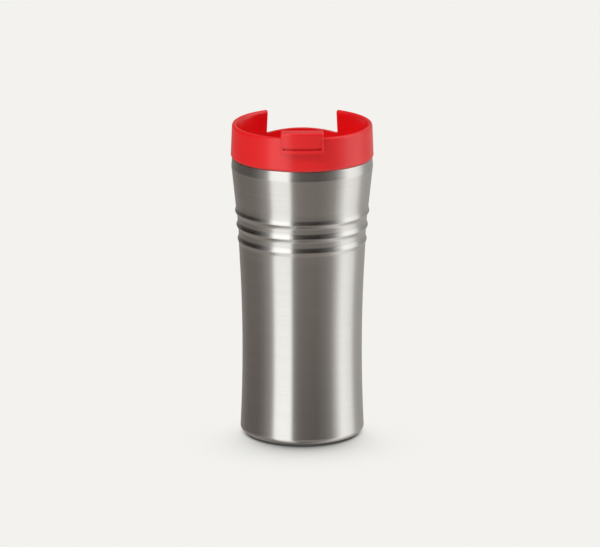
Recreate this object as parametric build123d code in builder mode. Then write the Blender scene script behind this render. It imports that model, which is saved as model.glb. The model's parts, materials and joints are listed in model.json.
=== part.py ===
from build123d import *
import math
import os

# Insulated travel mug: a double-walled steel body, a screw-in plastic lid with a high rim
# that is open at the back, and a flip lever that hooks over the rim at the front.
# Millimetres. +Z is up, z = 0 is the surface the mug stands on, and the front is -Y.

# ---------------------------------------------------------------- driving dimensions

# Steel body
WAIST_RADIUS = 35.15        # narrowest outside radius
WAIST_HEIGHT = 52.0
FLARE_RADIUS = 948.0        # radius of the long arc of the side wall
FOOT_CORNER = 3.2           # rounding where the side turns under
SHELL_FLOOR = 0.8           # the steel stands this far off the table, on the foot pad
FLARE_TOP = 159.2           # the flare ends here and the mouth band begins
MOUTH_RADIUS = 41.42        # foot of the mouth band, its widest place
MOUTH_HEIGHT = 160.9
LIP_RADIUS = 41.08          # the band draws in to this below the lip's rounded corner
LIP_HEIGHT = 166.5
LIP_CORNER = 0.5
SHELL_WALL = 0.6
HEM_RADIUS = 30.0           # inner edge of the turned-under foot

# Three raised beads below the mouth
BEAD_TOP_HEIGHT = 133.9
BEAD_SPACING = 8.35
BEAD_COUNT = 3
BEAD_HALF_HEIGHT = 2.9
BEAD_PROUD = (0.62, 0.52, 0.46)     # how far each crest stands out from the flare, top first
BEAD_SUNK = 0.40                    # how far the ground between two beads lies inside the flare
BEAD_END_SUNK = 0.10                # the same, just above and below the row of beads

# Steel liner
LINER_WALL = 0.5
VACUUM_GAP = 2.6
NECK_RADIUS = 38.1          # inside radius of the straight neck
NECK_BOTTOM = 150.0
NECK_SHOULDER = 3.0
LINER_FLOOR = 7.0
LINER_CORNER = 6.0
LINER_HEM_RADIUS = 24.0

# Base
BASE_PLATE_TOP = 4.0
BASE_PLATE_WALL = 0.6
EVACUATION_HOLE = 1.0
SEAL_RADIUS = 2.6
PAD_RADIUS = 29.1
PAD_SEAT_RADIUS = 24.2      # inner radius of the thick outer ring, which is glued to the base
PAD_WEB_TOP = 2.2
PAD_TOP = 3.3
PAD_EDGE = 0.5
PAD_GROOVE_RADIUS = 22.3
PAD_GROOVE_HALF = 1.2
PAD_GROOVE_DEPTH = 0.6

# Screw thread between lid and neck, one start, right hand
THREAD_LEAD = 6.0
THREAD_TURNS = 1.05
THREAD_ROOT_WIDTH = 1.9
THREAD_CREST_WIDTH = 1.1
THREAD_HEIGHT = 1.2
THREAD_BITE = 0.25          # how deep a ridge is rooted in its wall
NECK_THREAD_START = 156.6

# Lid
LID_BOTTOM = 166.75
LID_RADIUS = 41.66          # at the bulge near the lid's lower edge
LID_BULGE_HEIGHT = 169.3
LID_WALL_RADIUS = 41.59     # where the straight outer wall starts above the bulge
LID_WALL_HEIGHT = 171.8
RIM_RADIUS = 41.12
RIM_SHOULDER = 183.4
RIM_TOP = 186.2
RIM_WALL = 2.9
DECK_TOP = 166.6
DECK_THICKNESS = 2.0
DECK_FILLET = 3.0
SPIGOT_RADIUS = 37.7        # the part of the lid that drops inside the neck
GAP_HALF_BOTTOM = 20.8      # the opening at the back of the rim
GAP_HALF_TOP = 20.2
GAP_FLOOR = 173.8
GAP_CROWN = 1.7
POST_CORNER = 2.4           # rounding of each post's top corner, seen from the front
POST_CORNER_DROP = 1.8      # how far below the rim's top that rounding starts
POST_ROUND = 0.8
EDGE_MARGIN = 0.5           # how near its nominal place an edge is looked for

# Plug under the lid
PLUG_RADIUS = 36.6
PLUG_WALL = 2.0
PLUG_BOTTOM = 152.0
PLUG_CORNER = 1.0
DUCT_WALL = 1.5

# Gasket in the lid's groove
GASKET_INNER = 39.05
GASKET_OUTER = 40.55
GASKET_HEIGHT = 1.8
GASKET_EDGE = 0.3
GROOVE_CLEARANCE = 0.15

# Flip lever and its hinge
PIVOT_Y = 5.0
PIVOT_Z = 175.0
PIN_RADIUS = 1.5
PIN_CLEARANCE = 0.05        # round the pin in the lever's bore
PIN_EAR_CLEARANCE = 0.01
PIN_LENGTH = 22.4
PIN_CHAMFER = 0.3
EAR_INNER = 8.3
EAR_THICKNESS = 3.0
EAR_RADIUS = 3.6
EAR_FOOT_HALF = 5.2
KNUCKLE_HALF = 8.0
KNUCKLE_RADIUS = 3.4
ARM_HALF = 10.0
ARM_BOTTOM = 170.5
ARM_TOP = 174.3
ARM_SHOULDER_Y = -5.0
ARM_FRONT_Y = -35.2
WEB_FRONT_RADIUS = 37.6
WEB_BACK_Y = -34.4
WEB_BITE = 0.5              # how far the web runs up into the bridge
TAB_HALF = 12.4
TAB_INNER_RADIUS = 42.3
TAB_RADIUS = 44.5
TAB_BOTTOM = 178.0
TAB_TOP = 190.2
BRIDGE_BOTTOM = 187.1
BRIDGE_BACK_Y = -34.9
HOOD_ROUND = 1.3            # rounding of the hood's top edges
TAB_EDGE_ROUND = 0.7        # rounding of the tab's upright edges
TAB_BORDER = 1.2            # raised border round the finger panel
TAB_LIP = 2.0               # height of the ledge under the finger groove
PANEL_TOP = 188.7
PANEL_DEPTH = 0.35          # depth of the finger panel at its foot
FINGER_GROOVE_HEIGHT = 1.3
FINGER_GROOVE_DEPTH = 1.6

# Drinking hole and vent, both closed by silicone stoppers under the lever
DRINK_Y = -25.6
DRINK_LENGTH = 16.8
DRINK_WIDTH = 9.0
VENT_Y = -9.0
VENT_RADIUS = 1.6
STOPPER_GAP = 0.15
STOPPER_CLEARANCE = 0.4     # round the stopper at the deck
STOPPER_TAPER = 0.85        # how much it draws in by its lower end
STOPPER_DEPTH = 2.4
STOPPER_FLANGE = 0.9
STOPPER_FLANGE_THICKNESS = 1.0
STOPPER_NECK_LENGTH = 10.0
STOPPER_NECK_WIDTH = 5.0
VENT_FLANGE_RADIUS = 3.2
VENT_NUB_RADIUS = 1.1
VENT_NUB_DEPTH = 0.5
VENT_NECK_RADIUS = 1.6

# Inner pieces
FOIL_THICKNESS = 0.2
FOIL_BOTTOM = 16.0
FOIL_TOP = 144.0
GETTER_RADIUS = 4.0
GETTER_HEIGHT = 1.6
GETTER_X = 14.0
FOAM_CLEARANCE = 0.4


# ---------------------------------------------------------------- shared outlines

def flare(z):
    """Outside radius of the plain flared wall at height z."""
    return WAIST_RADIUS + FLARE_RADIUS - math.sqrt(FLARE_RADIUS**2 - (z - WAIST_HEIGHT) ** 2)


def flare_slope(z):
    """Direction of the flared wall at height z, pointing up."""
    return (z - WAIST_HEIGHT, math.sqrt(FLARE_RADIUS**2 - (z - WAIST_HEIGHT) ** 2))


def flare_arc(z_low, z_high, shift):
    """Long arc of the wall between two heights, moved out by shift."""
    z_mid = (z_low + z_high) / 2
    ThreePointArc(
        (flare(z_low) + shift, z_low),
        (flare(z_mid) + shift, z_mid),
        (flare(z_high) + shift, z_high),
    )


def bead_height(index):
    """Height of a bead's crest, counted from the top."""
    return BEAD_TOP_HEIGHT - index * BEAD_SPACING


def body_side(shift):
    """Side of the steel body from the foot corner to the mouth band, moved out by shift."""
    foot = SHELL_FLOOR + FOOT_CORNER
    lowest = bead_height(BEAD_COUNT - 1) - BEAD_HALF_HEIGHT
    settle = lowest - BEAD_SPACING
    flare_arc(foot, settle, shift)
    ground = (flare(lowest) - BEAD_END_SUNK + shift, lowest)
    Spline((flare(settle) + shift, settle), ground, tangents=(flare_slope(settle), flare_slope(lowest)))
    for index in reversed(range(BEAD_COUNT)):
        crest_z = bead_height(index)
        top_z = crest_z + BEAD_HALF_HEIGHT
        sunk = BEAD_SUNK if index > 0 else BEAD_END_SUNK
        crest = (flare(crest_z) + BEAD_PROUD[index] + shift, crest_z)
        top = (flare(top_z) - sunk + shift, top_z)
        Spline(ground, crest, top, tangents=(flare_slope(ground[1]), flare_slope(top_z)))
        ground = top
        if index > 0:
            next_z = bead_height(index - 1) - BEAD_HALF_HEIGHT
            ground = (flare(next_z) - BEAD_SUNK + shift, next_z)
            Line(top, ground)
    settle = ground[1] + BEAD_SPACING
    Spline(ground, (flare(settle) + shift, settle), tangents=(flare_slope(ground[1]), flare_slope(settle)))
    flare_arc(settle, FLARE_TOP, shift)
    lip_foot = LIP_HEIGHT - LIP_CORNER
    Spline(
        (flare(FLARE_TOP) + shift, FLARE_TOP),
        (MOUTH_RADIUS + shift, MOUTH_HEIGHT),
        tangents=(flare_slope(FLARE_TOP), (LIP_RADIUS - MOUTH_RADIUS, lip_foot - MOUTH_HEIGHT)),
    )
    Line((MOUTH_RADIUS + shift, MOUTH_HEIGHT), (LIP_RADIUS + shift, lip_foot))


def liner_side(shift):
    """Side of the liner from its floor corner to the foot of the neck, moved out by shift."""
    low = LINER_FLOOR + LINER_CORNER
    inner = -SHELL_WALL - VACUUM_GAP - LINER_WALL
    shoulder = NECK_BOTTOM - NECK_SHOULDER
    flare_arc(low, shoulder, inner + shift)
    Spline(
        (flare(shoulder) + inner + shift, shoulder),
        (NECK_RADIUS + shift, NECK_BOTTOM),
        tangents=(flare_slope(shoulder), (0, 1)),
    )


def thread_ridge(wall_radius, direction, start_z):
    """Helical ridge rooted in a cylinder; direction is +1 outward, -1 inward."""
    root = wall_radius - direction * THREAD_BITE
    crest = wall_radius + direction * THREAD_HEIGHT
    with BuildPart() as ridge:
        with BuildLine():
            Helix(THREAD_LEAD, THREAD_LEAD * THREAD_TURNS, wall_radius, center=(0, 0, start_z))
        with BuildSketch(Plane.XZ):
            with BuildLine():
                Polyline(
                    (root, start_z - THREAD_ROOT_WIDTH / 2),
                    (crest, start_z - THREAD_CREST_WIDTH / 2),
                    (crest, start_z + THREAD_CREST_WIDTH / 2),
                    (root, start_z + THREAD_ROOT_WIDTH / 2),
                    close=True,
                )
            make_face()
        sweep(is_frenet=True)
    return ridge.part


NECK_RIDGE = thread_ridge(NECK_RADIUS, -1, NECK_THREAD_START)
PLUG_RIDGE = thread_ridge(PLUG_RADIUS, 1, NECK_THREAD_START - THREAD_LEAD / 2)

os.makedirs("parts", exist_ok=True)


def save(piece, name):
    """Label a finished piece and write its STEP file."""
    piece.label = name
    export_step(piece, f"parts/{name}.step")


# ---------------------------------------------------------------- steel body

with BuildPart() as outer_shell:
    with BuildSketch(Plane.XZ):
        with BuildLine():
            corner_z = SHELL_FLOOR + FOOT_CORNER
            corner_radius = flare(corner_z)
            corner_inset = FOOT_CORNER * (1 - math.sqrt(0.5))
            body_side(0)
            RadiusArc(
                (LIP_RADIUS, LIP_HEIGHT - LIP_CORNER),
                (LIP_RADIUS - LIP_CORNER, LIP_HEIGHT),
                -LIP_CORNER,
            )
            Polyline(
                (LIP_RADIUS - LIP_CORNER, LIP_HEIGHT),
                (NECK_RADIUS + LINER_WALL, LIP_HEIGHT),
                (NECK_RADIUS + LINER_WALL, LIP_HEIGHT - SHELL_WALL),
                (LIP_RADIUS - SHELL_WALL, LIP_HEIGHT - SHELL_WALL),
                (LIP_RADIUS - SHELL_WALL, LIP_HEIGHT - LIP_CORNER),
            )
            body_side(-SHELL_WALL)
            ThreePointArc(
                (corner_radius - SHELL_WALL, corner_z),
                (
                    corner_radius - SHELL_WALL - (FOOT_CORNER - SHELL_WALL) * (1 - math.sqrt(0.5)),
                    corner_z - (FOOT_CORNER - SHELL_WALL) * math.sqrt(0.5),
                ),
                (corner_radius - FOOT_CORNER, SHELL_FLOOR + SHELL_WALL),
            )
            Polyline(
                (corner_radius - FOOT_CORNER, SHELL_FLOOR + SHELL_WALL),
                (HEM_RADIUS, SHELL_FLOOR + SHELL_WALL),
                (HEM_RADIUS, SHELL_FLOOR),
                (corner_radius - FOOT_CORNER, SHELL_FLOOR),
            )
            ThreePointArc(
                (corner_radius - FOOT_CORNER, SHELL_FLOOR),
                (corner_radius - corner_inset, SHELL_FLOOR + corner_inset),
                (corner_radius, corner_z),
            )
        make_face()
    revolve(axis=Axis.Z)
save(outer_shell.part, "outer_shell")

with BuildPart() as inner_liner:
    with BuildSketch(Plane.XZ):
        with BuildLine():
            liner_low = LINER_FLOOR + LINER_CORNER
            liner_low_r = flare(liner_low) - SHELL_WALL - VACUUM_GAP - LINER_WALL
            outer_corner = LINER_CORNER + LINER_WALL
            liner_side(0)
            Polyline(
                (NECK_RADIUS, NECK_BOTTOM),
                (NECK_RADIUS, LIP_HEIGHT),
                (NECK_RADIUS + LINER_WALL, LIP_HEIGHT),
                (NECK_RADIUS + LINER_WALL, NECK_BOTTOM),
            )
            liner_side(LINER_WALL)
            ThreePointArc(
                (liner_low_r + LINER_WALL, liner_low),
                (
                    liner_low_r + LINER_WALL - outer_corner * (1 - math.sqrt(0.5)),
                    liner_low - outer_corner * math.sqrt(0.5),
                ),
                (liner_low_r + LINER_WALL - outer_corner, liner_low - outer_corner),
            )
            Polyline(
                (liner_low_r - LINER_CORNER, LINER_FLOOR - LINER_WALL),
                (LINER_HEM_RADIUS, LINER_FLOOR - LINER_WALL),
                (LINER_HEM_RADIUS, LINER_FLOOR),
                (liner_low_r - LINER_CORNER, LINER_FLOOR),
            )
            ThreePointArc(
                (liner_low_r - LINER_CORNER, LINER_FLOOR),
                (
                    liner_low_r - LINER_CORNER * (1 - math.sqrt(0.5)),
                    liner_low - LINER_CORNER * math.sqrt(0.5),
                ),
                (liner_low_r, liner_low),
            )
        make_face()
    revolve(axis=Axis.Z)
    add(NECK_RIDGE)
save(inner_liner.part, "inner_liner")

with BuildPart() as liner_bottom:
    with BuildSketch(Plane.XY.offset(LINER_FLOOR - LINER_WALL)):
        Circle(LINER_HEM_RADIUS)
    extrude(amount=LINER_WALL)
save(liner_bottom.part, "liner_bottom")

with BuildPart() as heat_foil:
    with BuildSketch(Plane.XZ):
        with BuildLine():
            foil_in = -SHELL_WALL - VACUUM_GAP + FOIL_THICKNESS
            foil_out = foil_in + FOIL_THICKNESS
            flare_arc(FOIL_BOTTOM, FOIL_TOP, foil_in)
            Line((flare(FOIL_TOP) + foil_in, FOIL_TOP), (flare(FOIL_TOP) + foil_out, FOIL_TOP))
            flare_arc(FOIL_BOTTOM, FOIL_TOP, foil_out)
            Line(
                (flare(FOIL_BOTTOM) + foil_in, FOIL_BOTTOM),
                (flare(FOIL_BOTTOM) + foil_out, FOIL_BOTTOM),
            )
        make_face()
    revolve(axis=Axis.Z)
save(heat_foil.part, "heat_foil")

# ---------------------------------------------------------------- base

with BuildPart() as base_plate:
    with BuildSketch(Plane.XZ):
        with BuildLine():
            Polyline(
                (EVACUATION_HOLE, BASE_PLATE_TOP - BASE_PLATE_WALL),
                (HEM_RADIUS - BASE_PLATE_WALL, BASE_PLATE_TOP - BASE_PLATE_WALL),
                (HEM_RADIUS - BASE_PLATE_WALL, SHELL_FLOOR),
                (HEM_RADIUS, SHELL_FLOOR),
                (HEM_RADIUS, BASE_PLATE_TOP),
                (EVACUATION_HOLE, BASE_PLATE_TOP),
                close=True,
            )
        make_face()
    revolve(axis=Axis.Z)
save(base_plate.part, "base_plate")

# A bead of solder closes the hole that the air was drawn out through.
with BuildPart() as evacuation_seal:
    seal_bottom = PAD_WEB_TOP + GROOVE_CLEARANCE
    with BuildSketch(Plane.XZ):
        with BuildLine():
            Polyline(
                (SEAL_RADIUS, BASE_PLATE_TOP - BASE_PLATE_WALL),
                (EVACUATION_HOLE, BASE_PLATE_TOP - BASE_PLATE_WALL),
                (EVACUATION_HOLE, BASE_PLATE_TOP),
                (0, BASE_PLATE_TOP),
                (0, seal_bottom),
            )
            Spline(
                (0, seal_bottom),
                (SEAL_RADIUS, BASE_PLATE_TOP - BASE_PLATE_WALL),
                tangents=((1, 0), (0, 1)),
            )
        make_face()
    revolve(axis=Axis.Z)
save(evacuation_seal.part, "evacuation_seal")

with BuildPart() as getter_capsule:
    with BuildSketch(Plane.XY.offset(BASE_PLATE_TOP)):
        with Locations((GETTER_X, 0)):
            Circle(GETTER_RADIUS)
    extrude(amount=GETTER_HEIGHT)
    fillet(getter_capsule.edges().sort_by(Axis.Z)[-1], radius=GETTER_HEIGHT / 3)
save(getter_capsule.part, "getter_capsule")

with BuildPart() as foot_pad:
    with BuildSketch(Plane.XZ):
        with BuildLine():
            Polyline(
                (0, 0),
                (PAD_GROOVE_RADIUS - PAD_GROOVE_HALF, 0),
                (PAD_GROOVE_RADIUS - PAD_GROOVE_HALF / 2, PAD_GROOVE_DEPTH),
                (PAD_GROOVE_RADIUS + PAD_GROOVE_HALF / 2, PAD_GROOVE_DEPTH),
                (PAD_GROOVE_RADIUS + PAD_GROOVE_HALF, 0),
                (PAD_RADIUS - PAD_EDGE, 0),
                (PAD_RADIUS, PAD_EDGE),
                (PAD_RADIUS, PAD_TOP),
                (PAD_SEAT_RADIUS, PAD_TOP),
                (PAD_SEAT_RADIUS, PAD_WEB_TOP),
                (0, PAD_WEB_TOP),
                close=True,
            )
        make_face()
    revolve(axis=Axis.Z)
save(foot_pad.part, "foot_pad")

# ---------------------------------------------------------------- lid

with BuildPart() as lid_shell:
    rim_inner = RIM_RADIUS - RIM_WALL
    wall_foot_inner = LID_RADIUS - RIM_WALL
    wall_slope = (RIM_RADIUS - LID_WALL_RADIUS, RIM_SHOULDER - LID_WALL_HEIGHT)
    inner_slope = (RIM_RADIUS - LID_RADIUS, RIM_SHOULDER - DECK_TOP - DECK_FILLET)
    rim_crest = RIM_RADIUS - RIM_WALL / 2
    groove_in = GASKET_INNER - GROOVE_CLEARANCE
    groove_out = GASKET_OUTER + GROOVE_CLEARANCE
    groove_top = LIP_HEIGHT + GASKET_HEIGHT + GROOVE_CLEARANCE
    with BuildSketch(Plane.XZ):
        with BuildLine():
            Spline(
                (groove_out, LID_BOTTOM),
                (LID_RADIUS, LID_BULGE_HEIGHT),
                (LID_WALL_RADIUS, LID_WALL_HEIGHT),
                tangents=((1, 0), wall_slope),
            )
            Line((LID_WALL_RADIUS, LID_WALL_HEIGHT), (RIM_RADIUS, RIM_SHOULDER))
            Spline(
                (RIM_RADIUS, RIM_SHOULDER),
                (rim_crest, RIM_TOP),
                tangents=(wall_slope, (-1, 0)),
            )
            Spline(
                (rim_crest, RIM_TOP),
                (rim_inner, RIM_SHOULDER),
                tangents=((-1, 0), (-inner_slope[0], -inner_slope[1])),
            )
            Line(
                (rim_inner, RIM_SHOULDER),
                (wall_foot_inner, DECK_TOP + DECK_FILLET),
            )
            RadiusArc(
                (wall_foot_inner, DECK_TOP + DECK_FILLET),
                (wall_foot_inner - DECK_FILLET, DECK_TOP),
                DECK_FILLET,
            )
            Polyline(
                (wall_foot_inner - DECK_FILLET, DECK_TOP),
                (0, DECK_TOP),
                (0, DECK_TOP - DECK_THICKNESS),
                (SPIGOT_RADIUS, DECK_TOP - DECK_THICKNESS),
                (SPIGOT_RADIUS, LID_BOTTOM),
                (groove_in, LID_BOTTOM),
                (groove_in, groove_top),
                (groove_out, groove_top),
                (groove_out, LID_BOTTOM),
            )
        make_face()
    revolve(axis=Axis.Z)
    # The rim is open at the back, down to a low crowned sill.
    with BuildSketch(Plane.XZ.offset(-LID_RADIUS - RIM_WALL)):
        with BuildLine():
            ThreePointArc(
                (-GAP_HALF_BOTTOM, GAP_FLOOR - GAP_CROWN),
                (0, GAP_FLOOR),
                (GAP_HALF_BOTTOM, GAP_FLOOR - GAP_CROWN),
            )
            corner_foot = RIM_TOP - POST_CORNER_DROP
            corner_top = corner_foot + POST_CORNER
            for side in (-1, 1):
                Line(
                    (side * GAP_HALF_BOTTOM, GAP_FLOOR - GAP_CROWN),
                    (side * GAP_HALF_TOP, corner_foot),
                )
                RadiusArc(
                    (side * GAP_HALF_TOP, corner_foot),
                    (side * (GAP_HALF_TOP + POST_CORNER), corner_top),
                    side * POST_CORNER,
                )
            Polyline(
                (-GAP_HALF_TOP - POST_CORNER, corner_top),
                (-GAP_HALF_TOP - POST_CORNER, RIM_TOP + RIM_WALL),
                (GAP_HALF_TOP + POST_CORNER, RIM_TOP + RIM_WALL),
                (GAP_HALF_TOP + POST_CORNER, corner_top),
            )
        make_face()
    extrude(amount=LID_RADIUS, mode=Mode.SUBTRACT)
    # Round the two posts beside the opening, and their corners with the sill.
    for side in (-1, 1):
        post_edges = lid_shell.edges().filter_by(
            lambda edge: edge.center().Y > 0
            and GAP_HALF_TOP - EDGE_MARGIN < side * edge.center().X < GAP_HALF_BOTTOM + EDGE_MARGIN
            and edge.center().Z > GAP_FLOOR - 2 * GAP_CROWN
        )
        fillet(post_edges, radius=POST_ROUND)
    # Two ears carry the hinge pin of the lever.
    for side in (-1, 1):
        with BuildSketch(Plane.YZ.offset(side * (EAR_INNER + EAR_THICKNESS / 2))):
            with BuildLine():
                Polyline(
                    (PIVOT_Y - EAR_RADIUS, PIVOT_Z),
                    (PIVOT_Y - EAR_FOOT_HALF, DECK_TOP - DECK_THICKNESS / 2),
                    (PIVOT_Y + EAR_FOOT_HALF, DECK_TOP - DECK_THICKNESS / 2),
                    (PIVOT_Y + EAR_RADIUS, PIVOT_Z),
                )
                ThreePointArc(
                    (PIVOT_Y + EAR_RADIUS, PIVOT_Z),
                    (PIVOT_Y, PIVOT_Z + EAR_RADIUS),
                    (PIVOT_Y - EAR_RADIUS, PIVOT_Z),
                )
            make_face()
            with Locations((PIVOT_Y, PIVOT_Z)):
                Circle(PIN_RADIUS + PIN_EAR_CLEARANCE, mode=Mode.SUBTRACT)
        extrude(amount=EAR_THICKNESS / 2, both=True)
    # Drinking hole and vent.
    with BuildSketch(Plane.XY.offset(DECK_TOP)):
        with Locations((0, DRINK_Y)):
            SlotOverall(DRINK_LENGTH, DRINK_WIDTH)
        with Locations((0, VENT_Y)):
            Circle(VENT_RADIUS)
    extrude(amount=-DECK_THICKNESS, mode=Mode.SUBTRACT)
save(lid_shell.part, "lid_shell")

with BuildPart() as lid_plug:
    plug_top = DECK_TOP - DECK_THICKNESS
    plug_height = plug_top - PLUG_BOTTOM
    with BuildSketch(Plane.XY.offset(PLUG_BOTTOM)):
        Circle(PLUG_RADIUS)
    extrude(amount=plug_height)
    fillet(lid_plug.edges().group_by(Axis.Z)[0], radius=PLUG_CORNER)
    add(PLUG_RIDGE)
    # Hollow the plug from above, leaving the walls of the two ducts.
    with BuildSketch(Plane.XY.offset(plug_top)):
        Circle(PLUG_RADIUS - PLUG_WALL)
        with Locations((0, DRINK_Y)):
            SlotOverall(
                DRINK_LENGTH + 2 * DUCT_WALL, DRINK_WIDTH + 2 * DUCT_WALL, mode=Mode.SUBTRACT
            )
        with Locations((0, VENT_Y)):
            Circle(VENT_RADIUS + DUCT_WALL, mode=Mode.SUBTRACT)
    extrude(amount=PLUG_WALL - plug_height, mode=Mode.SUBTRACT)
    with BuildSketch(Plane.XY.offset(plug_top)):
        with Locations((0, DRINK_Y)):
            SlotOverall(DRINK_LENGTH, DRINK_WIDTH)
        with Locations((0, VENT_Y)):
            Circle(VENT_RADIUS)
    extrude(amount=-plug_height, mode=Mode.SUBTRACT)
save(lid_plug.part, "lid_plug")

with BuildPart() as lid_insulation:
    with BuildSketch(Plane.XY.offset(PLUG_BOTTOM + PLUG_WALL)):
        Circle(PLUG_RADIUS - PLUG_WALL - FOAM_CLEARANCE)
        with Locations((0, DRINK_Y)):
            SlotOverall(
                DRINK_LENGTH + 2 * (DUCT_WALL + FOAM_CLEARANCE),
                DRINK_WIDTH + 2 * (DUCT_WALL + FOAM_CLEARANCE),
                mode=Mode.SUBTRACT,
            )
        with Locations((0, VENT_Y)):
            Circle(VENT_RADIUS + DUCT_WALL + FOAM_CLEARANCE, mode=Mode.SUBTRACT)
    extrude(amount=plug_height - PLUG_WALL - FOAM_CLEARANCE)
save(lid_insulation.part, "lid_insulation")

with BuildPart() as lip_gasket:
    with BuildSketch(Plane.XY.offset(LIP_HEIGHT)):
        Circle(GASKET_OUTER)
        Circle(GASKET_INNER, mode=Mode.SUBTRACT)
    extrude(amount=GASKET_HEIGHT)
    fillet(lip_gasket.edges(), radius=GASKET_EDGE)
save(lip_gasket.part, "lip_gasket")

with BuildPart() as hinge_pin:
    with BuildSketch(Plane.YZ.offset(-PIN_LENGTH / 2)):
        with Locations((PIVOT_Y, PIVOT_Z)):
            Circle(PIN_RADIUS)
    extrude(amount=PIN_LENGTH)
    chamfer(hinge_pin.edges().filter_by(GeomType.CIRCLE), length=PIN_CHAMFER)
save(hinge_pin.part, "hinge_pin")

# ---------------------------------------------------------------- lever

with BuildPart() as lever:
    # The tab and the bridge over the rim follow the curve of the rim.
    with BuildSketch(Plane.XY.offset(TAB_BOTTOM)):
        Circle(TAB_RADIUS)
        Circle(TAB_INNER_RADIUS, mode=Mode.SUBTRACT)
        with Locations((0, -TAB_RADIUS)):
            Rectangle(2 * TAB_HALF, TAB_RADIUS, mode=Mode.INTERSECT)
    extrude(amount=TAB_TOP - TAB_BOTTOM)
    with BuildSketch(Plane.XY.offset(BRIDGE_BOTTOM)):
        Circle(TAB_RADIUS)
        with Locations((0, (BRIDGE_BACK_Y - TAB_RADIUS) / 2)):
            Rectangle(2 * TAB_HALF, TAB_RADIUS + BRIDGE_BACK_Y, mode=Mode.INTERSECT)
    extrude(amount=TAB_TOP - BRIDGE_BOTTOM)
    # Round the outside of the hood before the finger panel is sunk into it.
    upright_edges = lever.edges().filter_by(Axis.Z).filter_by(
        lambda edge: Vector(edge.center().X, edge.center().Y).length > TAB_RADIUS - EDGE_MARGIN
    )
    fillet(upright_edges, radius=TAB_EDGE_ROUND)
    fillet(lever.edges().group_by(Axis.Z)[-1], radius=HOOD_ROUND)
    panel_angle = math.degrees(math.asin((TAB_HALF - TAB_BORDER) / TAB_RADIUS))
    with BuildSketch(Plane.XZ.rotated((0, 0, -90 - panel_angle))):
        with BuildLine():
            Polyline(
                (TAB_RADIUS, PANEL_TOP),
                (TAB_RADIUS + TAB_BORDER, PANEL_TOP),
                (TAB_RADIUS + TAB_BORDER, TAB_BOTTOM + TAB_LIP),
                (TAB_RADIUS - FINGER_GROOVE_DEPTH, TAB_BOTTOM + TAB_LIP),
                (TAB_RADIUS - FINGER_GROOVE_DEPTH, TAB_BOTTOM + TAB_LIP + FINGER_GROOVE_HEIGHT),
                (TAB_RADIUS - PANEL_DEPTH, TAB_BOTTOM + TAB_LIP + FINGER_GROOVE_HEIGHT),
                close=True,
            )
        make_face()
    revolve(axis=Axis.Z, revolution_arc=2 * panel_angle, mode=Mode.SUBTRACT)
    # The web drops inside the rim to the arm.
    with BuildSketch(Plane.XY.offset(ARM_BOTTOM)):
        Circle(WEB_FRONT_RADIUS)
        with Locations((0, (WEB_BACK_Y - TAB_RADIUS) / 2)):
            Rectangle(2 * ARM_HALF, TAB_RADIUS + WEB_BACK_Y, mode=Mode.INTERSECT)
    extrude(amount=BRIDGE_BOTTOM - ARM_BOTTOM + WEB_BITE)
    # The arm runs back to the hinge knuckle.
    with BuildSketch(Plane.XY.offset(ARM_BOTTOM)):
        with BuildLine():
            Polyline(
                (-ARM_HALF, ARM_FRONT_Y),
                (-ARM_HALF, ARM_SHOULDER_Y),
                (-KNUCKLE_HALF, ARM_SHOULDER_Y + ARM_HALF - KNUCKLE_HALF),
                (-KNUCKLE_HALF, PIVOT_Y),
                (KNUCKLE_HALF, PIVOT_Y),
                (KNUCKLE_HALF, ARM_SHOULDER_Y + ARM_HALF - KNUCKLE_HALF),
                (ARM_HALF, ARM_SHOULDER_Y),
                (ARM_HALF, ARM_FRONT_Y),
                close=True,
            )
        make_face()
    extrude(amount=ARM_TOP - ARM_BOTTOM)
    with BuildSketch(Plane.YZ.offset(-KNUCKLE_HALF)):
        with Locations((PIVOT_Y, PIVOT_Z)):
            Circle(KNUCKLE_RADIUS)
    extrude(amount=2 * KNUCKLE_HALF)
    with BuildSketch(Plane.YZ.offset(-KNUCKLE_HALF)):
        with Locations((PIVOT_Y, PIVOT_Z)):
            Circle(PIN_RADIUS + PIN_CLEARANCE)
    extrude(amount=2 * KNUCKLE_HALF, mode=Mode.SUBTRACT)
save(lever.part, "lever")

with BuildPart() as drink_stopper:
    flange_bottom = DECK_TOP + STOPPER_GAP
    flange_top = flange_bottom + STOPPER_FLANGE_THICKNESS
    head = 2 * STOPPER_CLEARANCE
    foot = head + 2 * STOPPER_TAPER
    with BuildSketch(Plane.XY.offset(DECK_TOP - STOPPER_DEPTH)):
        with Locations((0, DRINK_Y)):
            SlotOverall(DRINK_LENGTH - foot, DRINK_WIDTH - foot)
    with BuildSketch(Plane.XY.offset(flange_bottom)):
        with Locations((0, DRINK_Y)):
            SlotOverall(DRINK_LENGTH - head, DRINK_WIDTH - head)
    loft()
    with BuildSketch(Plane.XY.offset(flange_bottom)):
        with Locations((0, DRINK_Y)):
            SlotOverall(DRINK_LENGTH + 2 * STOPPER_FLANGE, DRINK_WIDTH + 2 * STOPPER_FLANGE)
    extrude(amount=STOPPER_FLANGE_THICKNESS)
    with BuildSketch(Plane.XY.offset(flange_top)):
        with Locations((0, DRINK_Y)):
            SlotOverall(STOPPER_NECK_LENGTH, STOPPER_NECK_WIDTH)
    extrude(amount=ARM_BOTTOM - flange_top)
save(drink_stopper.part, "drink_stopper")

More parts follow.
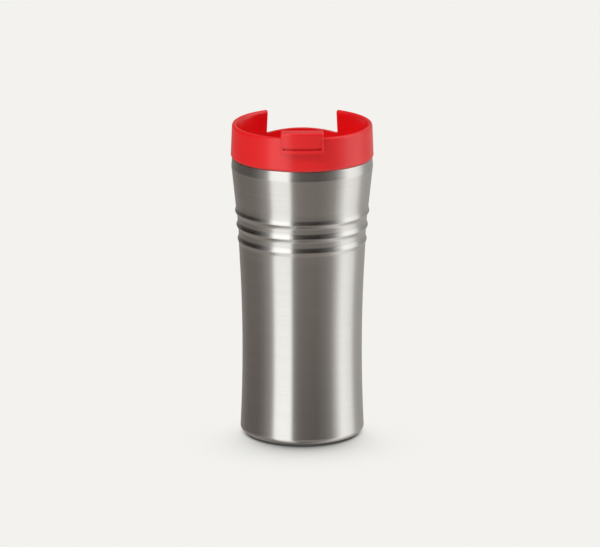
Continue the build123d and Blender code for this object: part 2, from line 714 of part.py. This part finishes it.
with BuildPart() as vent_stopper:
    with BuildSketch(Plane.XY.offset(DECK_TOP - VENT_NUB_DEPTH)):
        with Locations((0, VENT_Y)):
            Circle(VENT_NUB_RADIUS)
    extrude(amount=VENT_NUB_DEPTH + STOPPER_GAP)
    with BuildSketch(Plane.XY.offset(DECK_TOP + STOPPER_GAP)):
        with Locations((0, VENT_Y)):
            Circle(VENT_FLANGE_RADIUS)
    extrude(amount=STOPPER_FLANGE_THICKNESS)
    with BuildSketch(Plane.XY.offset(flange_top)):
        with Locations((0, VENT_Y)):
            Circle(VENT_NECK_RADIUS)
    extrude(amount=ARM_BOTTOM - flange_top)
save(vent_stopper.part, "vent_stopper")
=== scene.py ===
import json
import math

import bpy
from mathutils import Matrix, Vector

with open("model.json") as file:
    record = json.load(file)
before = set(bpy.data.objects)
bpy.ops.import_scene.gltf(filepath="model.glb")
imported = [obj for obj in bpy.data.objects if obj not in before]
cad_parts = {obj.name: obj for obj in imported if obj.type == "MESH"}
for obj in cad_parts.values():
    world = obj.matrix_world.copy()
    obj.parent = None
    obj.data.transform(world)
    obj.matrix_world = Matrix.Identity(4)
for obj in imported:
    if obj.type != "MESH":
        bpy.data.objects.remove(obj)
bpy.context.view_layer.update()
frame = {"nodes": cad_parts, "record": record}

# ---------------------------------------------------------------- camera

FRAME_WIDTH_PX = 600
SENSOR_MM = 36.0
CAMERA_DISTANCE = 3.8          # metres from the aim point
CAMERA_ELEVATION = math.radians(14.6)
PX_PER_METRE = 1703.0          # at the mug's axis
CLIP_START = 0.1
CLIP_END = 50.0
AIM = Vector((-0.00126, 0.0, 0.0954))

# ---------------------------------------------------------------- finishes

# Noise is (cycles per metre on x, y and z; detail; roughness of the noise).
STREAKS = ((18.0, 18.0, 5200.0), 4.0, 0.7)             # brushing round the body
BROAD_STREAKS = ((9.0, 9.0, 420.0), 3.0, 0.5)
TURNING_MARKS = ((30.0, 30.0, 2400.0), 3.0, 0.5)
CREASES = ((220.0, 220.0, 140.0), 4.0, 0.7)
RIPPLES = ((900.0, 900.0, 900.0), 2.0, 0.5)
FOAM_CELLS = ((1400.0, 1400.0, 1400.0), 1.0, 0.5)
CLOUDS = ((60.0, 60.0, 60.0), 2.0, 0.5)
FINE_GRAIN = ((5200.0, 5200.0, 5200.0), 2.0, 0.5)
NOISE_LOW = 0.3                # most of the noise lies between these
NOISE_HIGH = 0.7

METALLIC = 1.0
BRUSH_ANISOTROPY = 0.9
BRUSH_ROTATION = 0.25          # a quarter turn, so highlights stretch up and down
GRAIN_DEPTH = 0.00003
PLAIN_GLOSS = 0.5
RED_GLOSS = 0.7

RED = ((0.78, 0.005, 0.008), (0.82, 0.007, 0.010))
FOOT_BLACK = ((0.030, 0.030, 0.032), (0.045, 0.045, 0.048))
PLUG_BLACK = ((0.050, 0.050, 0.053), (0.070, 0.070, 0.073))
SEAL_GREY = ((0.52, 0.52, 0.50), (0.60, 0.60, 0.58))

# ---------------------------------------------------------------- studio

FLOOR_HALF = 6.0
SHADOW_REACH = 0.060
SHADOW_SAMPLES = 32
SHADOW_DIRECTION = (0.0, 0.85, 0.53)   # what hides this side of the sky shades the floor
SHADOW_POWER = 2.8             # how fast the shadow fades away from the foot
SHADOW_GAIN = 3.0
SHADOW_DEEPEST = 0.93
SOFTBOX_DISTANCE = 1.5
SOFTBOX_SIZE = 0.3
SOFTBOXES = (                          # name, degrees to the right of the camera, degrees up, watts
    ("key", -50.0, 45.0, 6.0),
    ("rim_light", 112.0, 32.0, 3.5),
)
PALE = (0.896, 0.888, 0.855)           # the backdrop and floor as the camera sees them
AZIMUTH_STOPS = (                      # degrees to the right of the camera, softbox weight
    (-180, 0.12), (-160, 0.08), (-125, 0.0), (-93, 0.0), (-80, 0.04), (-64, 0.17), (-58, 0.35),
    (-52, 1.0), (-22, 1.0), (-17, 0.13), (-10, 0.05), (0, 0.02), (28, 0.0), (44, 0.04),
    (57, 0.12), (66, 0.36), (80, 0.88), (90, 0.90), (106, 0.76), (120, 0.30), (135, 0.22),
    (160, 0.20), (180, 0.12),
)
DARK_STOPS = (                         # degrees above level, radiance of the dark cards
    (-90, 0.06), (-60, 0.22), (-42, 0.28), (-28, 0.245), (-16, 0.19), (-6, 0.08), (5, 0.02),
    (60, 0.02), (90, 0.3),
)
BRIGHT_STOPS = (                       # the same, of the mirrored softboxes
    (-90, 0.15), (-60, 0.75), (-42, 1.05), (-28, 1.2), (-14, 1.3), (0, 1.5), (40, 1.8),
    (60, 1.6), (90, 0.8),
)
DOME_STOPS = ((-90, 0.37), (0, 0.55), (30, 0.69), (90, 1.2))
DARK_TINT = (1.10, 0.98, 0.90)
BRIGHT_TINT = (1.0, 0.995, 0.98)
DOME_TINT = (1.0, 0.995, 0.985)
HALF_TURN = 180.0
STRAIGHT_UP = 90.0

# Sockets of the Mix node when it mixes colours.
MIX_FIRST = 6
MIX_SECOND = 7
MIX_RESULT = 2


# ---------------------------------------------------------------- node helpers

def feed(tree, socket, value):
    """Sets a socket to a number or a colour, or links another socket to it."""
    if isinstance(value, bpy.types.NodeSocket):
        tree.links.new(value, socket)
    elif isinstance(value, tuple) and len(value) < len(socket.default_value):
        socket.default_value = (*value, 1.0)
    else:
        socket.default_value = value


def noise(tree, pattern):
    """Noise value over object-space position."""
    scale, detail, roughness = pattern
    source = tree.nodes.new("ShaderNodeTexCoord")
    mapping = tree.nodes.new("ShaderNodeMapping")
    mapping.inputs["Scale"].default_value = scale
    tree.links.new(source.outputs["Object"], mapping.inputs["Vector"])
    node = tree.nodes.new("ShaderNodeTexNoise")
    node.inputs["Scale"].default_value = 1.0
    node.inputs["Detail"].default_value = detail
    node.inputs["Roughness"].default_value = roughness
    tree.links.new(mapping.outputs["Vector"], node.inputs["Vector"])
    return node.outputs["Fac"]


def map_range(tree, value, low, high, from_low=NOISE_LOW, from_high=NOISE_HIGH):
    """Rescales a value."""
    node = tree.nodes.new("ShaderNodeMapRange")
    node.inputs["From Min"].default_value = from_low
    node.inputs["From Max"].default_value = from_high
    node.inputs["To Min"].default_value = low
    node.inputs["To Max"].default_value = high
    tree.links.new(value, node.inputs["Value"])
    return node.outputs["Result"]


def mix_colour(tree, factor, first, second):
    """Blends two colours by a value."""
    node = tree.nodes.new("ShaderNodeMix")
    node.data_type = "RGBA"
    feed(tree, node.inputs["Factor"], factor)
    feed(tree, node.inputs[MIX_FIRST], first)
    feed(tree, node.inputs[MIX_SECOND], second)
    return node.outputs[MIX_RESULT]


def math_node(tree, operation, first, second=None):
    """Maths on one or two values."""
    node = tree.nodes.new("ShaderNodeMath")
    node.operation = operation
    feed(tree, node.inputs[0], first)
    if second is not None:
        feed(tree, node.inputs[1], second)
    return node.outputs["Value"]


def ramp(tree, value, limit, stops):
    """Piecewise-linear curve from (position, level) stops, of a value between -limit and limit."""
    node = tree.nodes.new("ShaderNodeFloatCurve")
    curve = node.mapping.curves[0]
    peak = max(level for _, level in stops)
    while len(curve.points) < len(stops):
        curve.points.new(0.5, 0.5)
    for point, (position, level) in zip(curve.points, stops):
        point.location = ((position + limit) / (2 * limit), level / peak)
        point.handle_type = "VECTOR"
    node.mapping.update()
    tree.links.new(map_range(tree, value, 0.0, 1.0, -limit, limit), node.inputs["Value"])
    return math_node(tree, "MULTIPLY", node.outputs["Value"], peak)


def tinted(tree, level, tint):
    """A colour from a level and a tint."""
    node = tree.nodes.new("ShaderNodeVectorMath")
    node.operation = "SCALE"
    node.inputs[0].default_value = tint
    tree.links.new(level, node.inputs["Scale"])
    return node.outputs["Vector"]


def background(tree, colour):
    """Background shader from a colour."""
    node = tree.nodes.new("ShaderNodeBackground")
    feed(tree, node.inputs["Color"], colour)
    return node.outputs["Background"]


def mix_shader(tree, factor, first, second):
    """Blends two shaders by a value."""
    node = tree.nodes.new("ShaderNodeMixShader")
    for socket, value in zip(node.inputs, (factor, first, second)):
        tree.links.new(value, socket)
    return node.outputs[0]


# ---------------------------------------------------------------- materials

def finish(name, colours, colour_noise, roughness, roughness_noise, bump_noise, strength, depth):
    """Material with noise in its colour, roughness and relief; returns it, its nodes and its shader."""
    material = bpy.data.materials.new(name)
    material.use_nodes = True
    tree = material.node_tree
    tree.nodes.clear()
    output = tree.nodes.new("ShaderNodeOutputMaterial")
    shader = tree.nodes.new("ShaderNodeBsdfPrincipled")
    tree.links.new(shader.outputs["BSDF"], output.inputs["Surface"])
    spread = map_range(tree, noise(tree, colour_noise), 0.0, 1.0)
    feed(tree, shader.inputs["Base Color"], mix_colour(tree, spread, *colours))
    if roughness_noise is None:
        shader.inputs["Roughness"].default_value = roughness
    else:
        gloss_map = map_range(tree, noise(tree, roughness_noise), *roughness)
        feed(tree, shader.inputs["Roughness"], gloss_map)
    relief = tree.nodes.new("ShaderNodeBump")
    relief.inputs["Strength"].default_value = strength
    relief.inputs["Distance"].default_value = depth
    feed(tree, relief.inputs["Height"], noise(tree, bump_noise))
    feed(tree, shader.inputs["Normal"], relief.outputs["Normal"])
    return material, tree, shader


def metal(name, colours, pattern, roughness, roughness_noise, strength, depth):
    """Bare metal with one pattern in its colour and relief."""
    material, tree, shader = finish(
        name, colours, pattern, roughness, roughness_noise, pattern, strength, depth)
    shader.inputs["Metallic"].default_value = METALLIC
    return material, tree, shader


def brushed_steel():
    """Outer shell: brushed round the body, so highlights stretch up and down."""
    colours = ((0.63, 0.617, 0.595), (0.69, 0.68, 0.66))
    material, tree, shader = metal(
        "brushed_shell", colours, STREAKS, (0.20, 0.24), BROAD_STREAKS, 0.06, 0.00002)
    shader.inputs["Anisotropic"].default_value = BRUSH_ANISOTROPY
    shader.inputs["Anisotropic Rotation"].default_value = BRUSH_ROTATION
    tangent = tree.nodes.new("ShaderNodeTangent")
    tangent.direction_type = "RADIAL"
    tangent.axis = "Z"
    feed(tree, shader.inputs["Tangent"], tangent.outputs["Tangent"])
    return material


def drawn_steel():
    """Liner, base plate and pin: plain drawn steel with faint turning marks."""
    colours = ((0.58, 0.57, 0.55), (0.68, 0.67, 0.66))
    return metal("bare_steel", colours, TURNING_MARKS, (0.24, 0.34), TURNING_MARKS, 0.05, 0.00002)[0]


def crinkled_foil():
    """Foil wrapped round the liner."""
    colours = ((0.78, 0.78, 0.79), (0.90, 0.90, 0.91))
    return metal("foil", colours, CREASES, (0.15, 0.30), CREASES, 0.5, 0.0003)[0]


def solder_bead():
    """Dull bead of solder."""
    colours = ((0.42, 0.42, 0.43), (0.60, 0.60, 0.61))
    return metal("solder", colours, RIPPLES, (0.40, 0.60), RIPPLES, 0.3, 0.0001)[0]


def closed_foam():
    """Closed-cell foam."""
    colours = ((0.78, 0.77, 0.72), (0.90, 0.89, 0.85))
    return finish("foam", colours, FOAM_CELLS, 0.9, None, FOAM_CELLS, 0.6, 0.0002)[0]


def moulded(name, colours, roughness, grain, gloss=PLAIN_GLOSS):
    """Moulded plastic or silicone: fine grain in the surface, and a faint change of colour over it."""
    spread = (roughness - 0.03, roughness + 0.05)
    material, _, shader = finish(
        name, colours, CLOUDS, spread, FINE_GRAIN, FINE_GRAIN, grain, GRAIN_DEPTH)
    shader.inputs["Specular IOR Level"].default_value = gloss
    return material


def finish_pieces():
    """Gives every CAD piece the material that its slot names."""
    materials = {
        "brushed_shell": brushed_steel(),
        "bare_steel": drawn_steel(),
        "foil": crinkled_foil(),
        "solder": solder_bead(),
        "foot_silicone": moulded("foot_silicone", FOOT_BLACK, 0.55, 0.25),
        "lid_plastic": moulded("lid_plastic", RED, 0.24, 0.10, gloss=RED_GLOSS),
        "plug_plastic": moulded("plug_plastic", PLUG_BLACK, 0.45, 0.2),
        "foam": closed_foam(),
        "seal_silicone": moulded("seal_silicone", SEAL_GREY, 0.42, 0.15),
        "lever_plastic": moulded("lever_plastic", RED, 0.24, 0.10, gloss=RED_GLOSS),
    }
    for entry in frame["record"]["subparts"]:
        frame["nodes"][entry["node"]].data.materials[0] = materials[entry["material_slot"]]


# ---------------------------------------------------------------- scene

def direction(right, up):
    """Unit vector from degrees to the right of the camera and degrees above level."""
    azimuth = math.radians(right)
    elevation = math.radians(up)
    return Vector((
        math.sin(azimuth) * math.cos(elevation),
        -math.cos(azimuth) * math.cos(elevation),
        math.sin(elevation),
    ))


def make_camera():
    """Long lens from the front, looking slightly down at the mug."""
    data = bpy.data.cameras.new("camera")
    data.sensor_width = SENSOR_MM
    data.lens = PX_PER_METRE * CAMERA_DISTANCE / FRAME_WIDTH_PX * SENSOR_MM
    data.clip_start = CLIP_START
    data.clip_end = CLIP_END
    camera = bpy.data.objects.new("camera", data)
    bpy.context.scene.collection.objects.link(camera)
    back = Vector((0.0, -math.cos(CAMERA_ELEVATION), math.sin(CAMERA_ELEVATION)))
    camera.location = AIM + back * CAMERA_DISTANCE
    camera.rotation_mode = "QUATERNION"
    camera.rotation_quaternion = (-back).to_track_quat("-Z", "Y")
    bpy.context.scene.camera = camera


def make_studio_light():
    """Pale dome for diffuse light; softboxes and dark cards round the mug in what polished parts mirror."""
    world = bpy.data.worlds.new("studio")
    bpy.context.scene.world = world
    world.use_nodes = True
    tree = world.node_tree
    tree.nodes.clear()
    split = tree.nodes.new("ShaderNodeSeparateXYZ")
    feed(tree, split.inputs["Vector"], tree.nodes.new("ShaderNodeTexCoord").outputs["Generated"])
    to_degrees = math.degrees(1.0)
    ahead = math_node(tree, "MULTIPLY", split.outputs["Y"], -1.0)
    azimuth = math_node(tree, "ARCTAN2", split.outputs["X"], ahead)
    azimuth = math_node(tree, "MULTIPLY", azimuth, to_degrees)
    elevation = math_node(tree, "ARCSINE", split.outputs["Z"])
    elevation = math_node(tree, "MULTIPLY", elevation, to_degrees)
    weight = ramp(tree, azimuth, HALF_TURN, AZIMUTH_STOPS)
    dark = tinted(tree, ramp(tree, elevation, STRAIGHT_UP, DARK_STOPS), DARK_TINT)
    bright = tinted(tree, ramp(tree, elevation, STRAIGHT_UP, BRIGHT_STOPS), BRIGHT_TINT)
    dome = tinted(tree, ramp(tree, elevation, STRAIGHT_UP, DOME_STOPS), DOME_TINT)
    mirrored = background(tree, mix_colour(tree, weight, dark, bright))
    path = tree.nodes.new("ShaderNodeLightPath")
    shader = mix_shader(tree, path.outputs["Is Glossy Ray"], background(tree, dome), mirrored)
    shader = mix_shader(tree, path.outputs["Is Camera Ray"], shader, background(tree, PALE))
    output = tree.nodes.new("ShaderNodeOutputWorld")
    feed(tree, output.inputs["Surface"], shader)
    world.cycles.sampling_method = "NONE"


def make_softbox(name, right, up, watts):
    """Round softbox aimed at the mug; polished parts don't mirror it."""
    data = bpy.data.lights.new(name, "AREA")
    data.shape = "DISK"
    data.size = SOFTBOX_SIZE
    data.energy = watts
    softbox = bpy.data.objects.new(name, data)
    bpy.context.scene.collection.objects.link(softbox)
    towards = direction(right, up)
    softbox.location = AIM + towards * SOFTBOX_DISTANCE
    softbox.rotation_mode = "QUATERNION"
    softbox.rotation_quaternion = towards.to_track_quat("Z", "Y")
    softbox.visible_glossy = False


def make_floor():
    """Pale floor, glowing like a light table, with the mug's soft contact shadow on it."""
    mesh = bpy.data.meshes.new("floor")
    corners = [(x * FLOOR_HALF, y * FLOOR_HALF, 0.0) for x, y in ((-1, -1), (1, -1), (1, 1), (-1, 1))]
    mesh.from_pydata(corners, [], [(0, 1, 2, 3)])
    floor = bpy.data.objects.new("floor", mesh)
    bpy.context.scene.collection.objects.link(floor)
    material = bpy.data.materials.new("floor")
    material.use_nodes = True
    tree = material.node_tree
    tree.nodes.clear()
    facing = tree.nodes.new("ShaderNodeCombineXYZ")
    for socket, value in zip(facing.inputs, SHADOW_DIRECTION):
        socket.default_value = value
    occlusion = tree.nodes.new("ShaderNodeAmbientOcclusion")
    occlusion.samples = SHADOW_SAMPLES
    occlusion.inputs["Distance"].default_value = SHADOW_REACH
    feed(tree, occlusion.inputs["Normal"], facing.outputs["Vector"])
    covered = math_node(tree, "SUBTRACT", 1.0, occlusion.outputs["AO"])
    covered = math_node(tree, "POWER", covered, SHADOW_POWER)
    covered = math_node(tree, "MULTIPLY", covered, SHADOW_GAIN)
    covered = math_node(tree, "MINIMUM", covered, SHADOW_DEEPEST)
    lit = math_node(tree, "SUBTRACT", 1.0, covered)
    glow = tree.nodes.new("ShaderNodeEmission")
    feed(tree, glow.inputs["Color"], tinted(tree, lit, PALE))
    output = tree.nodes.new("ShaderNodeOutputMaterial")
    feed(tree, output.inputs["Surface"], glow.outputs["Emission"])
    mesh.materials.append(material)
    floor.visible_glossy = False


bpy.context.scene.view_settings.view_transform = "Standard"
finish_pieces()
make_camera()
make_studio_light()
for softbox_settings in SOFTBOXES:
    make_softbox(*softbox_settings)
make_floor()
